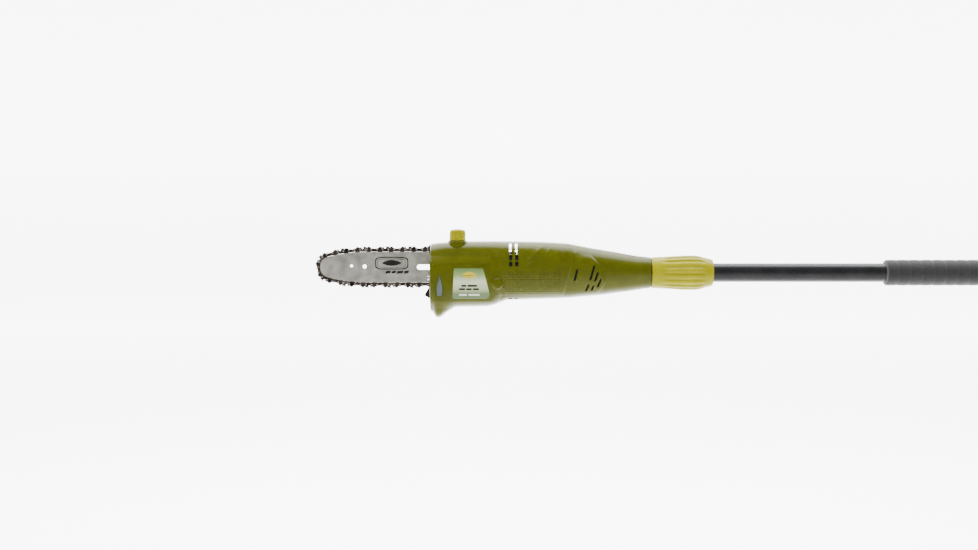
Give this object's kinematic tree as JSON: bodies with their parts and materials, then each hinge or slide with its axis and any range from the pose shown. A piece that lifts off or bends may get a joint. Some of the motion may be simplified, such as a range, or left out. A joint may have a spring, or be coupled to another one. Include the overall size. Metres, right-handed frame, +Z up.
{
  "type": "telescoping pole saw",
  "caption": "Electric chain saw head on a telescoping pole with a twist-lock collar, foam grip and looped rear handle with a trigger, closed to its shortest length.",
  "frame": {"origin": "on the pole's axis, at the tail end of the saw head where the locking collar starts", "axes": "+X along the pole towards the rear handle, +Z up with the guide bar on edge, -Y the oil tank side"},
  "size_m": [1.6799, 0.1077, 0.1501],
  "materials": {
    "olive_plastic": "glossy moulded olive green",
    "lime_plastic": "glossy moulded yellow-green",
    "black_plastic": "fine matt texture",
    "bar_steel": "satin ground steel",
    "chain_steel": "dark oiled steel",
    "plain_steel": "bright machined steel",
    "black_steel": "black oxide",
    "tube_aluminium": "drawn and anodised",
    "pole_paint": "black powder coat",
    "cast_aluminium": "as cast",
    "copper_wire": "enamelled copper",
    "foam": "closed-cell foam",
    "label_film": "printed film",
    "window_plastic": "clear smoked plastic",
    "tank_plastic": "natural polyethylene",
    "rubber": "moulded rubber"
  },
  "bodies": {
    "head": {"housing_left": "olive_plastic", "housing_right": "olive_plastic", "sprocket_cover": "olive_plastic", "housing_screws": "black_steel", "chain_drive_links": "chain_steel", "chain_tie_straps": "chain_steel", "chain_cutters": "chain_steel", "chain_rivets": "chain_steel", "motor_stator": "plain_steel", "field_coils": "copper_wire", "carbon_brushes": "black_plastic", "brush_holder": "black_plastic", "gearbox_casting": "cast_aluminium", "shaft_bearings": "plain_steel", "oil_tank": "tank_plastic", "oil_window": "window_plastic", "oil_pump": "black_plastic", "oil_pipe": "rubber", "bar_stud": "plain_steel", "front_plates": "black_steel", "rating_label": "label_film", "pole_clamp": "black_plastic", "tail_ring": "black_plastic", "inner_tube": "tube_aluminium", "tube_end_bush": "black_plastic", "coiled_lead": "rubber"},
    "guide_bar": {"bar_side_plates": "bar_steel", "bar_core": "bar_steel", "bar_rivets": "plain_steel", "tension_block": "plain_steel"},
    "tensioner": {"tension_screw": "plain_steel"},
    "nose_wheel": {"nose_sprocket": "plain_steel"},
    "sprocket_drive": {"sprocket_shaft": "plain_steel", "drive_sprocket": "plain_steel", "bevel_gear": "plain_steel"},
    "rotor": {"rotor_shaft": "plain_steel", "rotor_core": "plain_steel", "commutator": "copper_wire", "cooling_fan": "black_plastic", "bevel_pinion": "plain_steel"},
    "knob": {"cover_knob": "black_plastic"},
    "cap_carrier": {"cap_seal": "rubber"},
    "cap": {"oil_cap": "lime_plastic"},
    "pole": {"outer_tube": "pole_paint", "lock_collet": "black_plastic", "thread_sleeve": "black_plastic", "foam_grip": "foam", "tube_liner": "black_plastic", "handle_left": "olive_plastic", "handle_right": "olive_plastic", "handle_screws": "black_steel", "switch_body": "black_plastic", "trigger_spring": "plain_steel", "button_spring": "plain_steel", "inlet_cup": "black_plastic", "inlet_pins": "plain_steel", "cord_hook": "black_plastic"},
    "collar": {"lock_collar": "lime_plastic"},
    "trigger_lever": {"trigger": "black_plastic"},
    "lock_button": {"lock_off_button": "lime_plastic"}
  },
  "joints": [
    {"name": "pole_slide", "type": "slide", "parent": "head", "child": "pole", "axis": [1, 0, 0], "range_m": [0, 0.74], "deforming": ["coiled_lead"]},
    {"name": "collar_twist", "type": "hinge", "parent": "pole", "child": "collar", "pos_m": [0.05, 0, 0], "axis": [1, 0, 0], "range_deg": [0, 120]},
    {"name": "screw_turn", "type": "hinge", "parent": "head", "child": "tensioner", "pos_m": [-0.345, 0.008, -0.0095], "axis": [1, 0, 0], "range_deg": [0, 1260]},
    {"name": "bar_tension", "type": "slide", "parent": "head", "child": "guide_bar", "axis": [1, 0, 0], "range_m": [0, 0.0035]},
    {"name": "rotor_spin", "type": "hinge", "parent": "head", "child": "rotor", "pos_m": [-0.18, 0, 0.0085], "axis": [1, 0, 0], "continuous": true},
    {"name": "sprocket_spin", "type": "hinge", "parent": "head", "child": "sprocket_drive", "pos_m": [-0.2915, 0, 0.0085], "axis": [0, 1, 0], "continuous": true},
    {"name": "nose_spin", "type": "hinge", "parent": "guide_bar", "child": "nose_wheel", "pos_m": [-0.5435, 0.022, 0.0085], "axis": [0, 1, 0], "continuous": true},
    {"name": "knob_turn", "type": "hinge", "parent": "head", "child": "knob", "pos_m": [-0.345, 0.052, 0.0085], "axis": [0, 1, 0], "range_deg": [0, 720]},
    {"name": "cap_rise", "type": "slide", "parent": "head", "child": "cap_carrier", "axis": [0, 0, 1], "range_m": [0, 0.006]},
    {"name": "cap_turn", "type": "hinge", "parent": "cap_carrier", "child": "cap", "pos_m": [-0.325, -0.02, 0.06], "axis": [0, 0, 1], "range_deg": [0, 720]},
    {"name": "trigger_pull", "type": "hinge", "parent": "pole", "child": "trigger_lever", "pos_m": [0.878, 0, -0.01], "axis": [0, -1, 0], "range_deg": [0, 11], "stiffness_Nm_per_rad": 0.6, "springref_deg": -17.19, "deforming": ["trigger_spring"]},
    {"name": "button_press", "type": "slide", "parent": "pole", "child": "lock_button", "axis": [0, 1, 0], "range_m": [0, 0.004], "stiffness_N_per_m": 900, "springref_m": -0.003, "deforming": ["button_spring"]}
  ],
  "couplings": [
    {"joint": "screw_turn", "follows": "bar_tension", "rad_per_m": 6283.2},
    {"joint": "sprocket_spin", "follows": "rotor_spin", "ratio": 0.33333},
    {"joint": "nose_spin", "follows": "rotor_spin", "ratio": 0.2},
    {"joint": "cap_turn", "follows": "cap_rise", "rad_per_m": 2094.4}
  ]
}
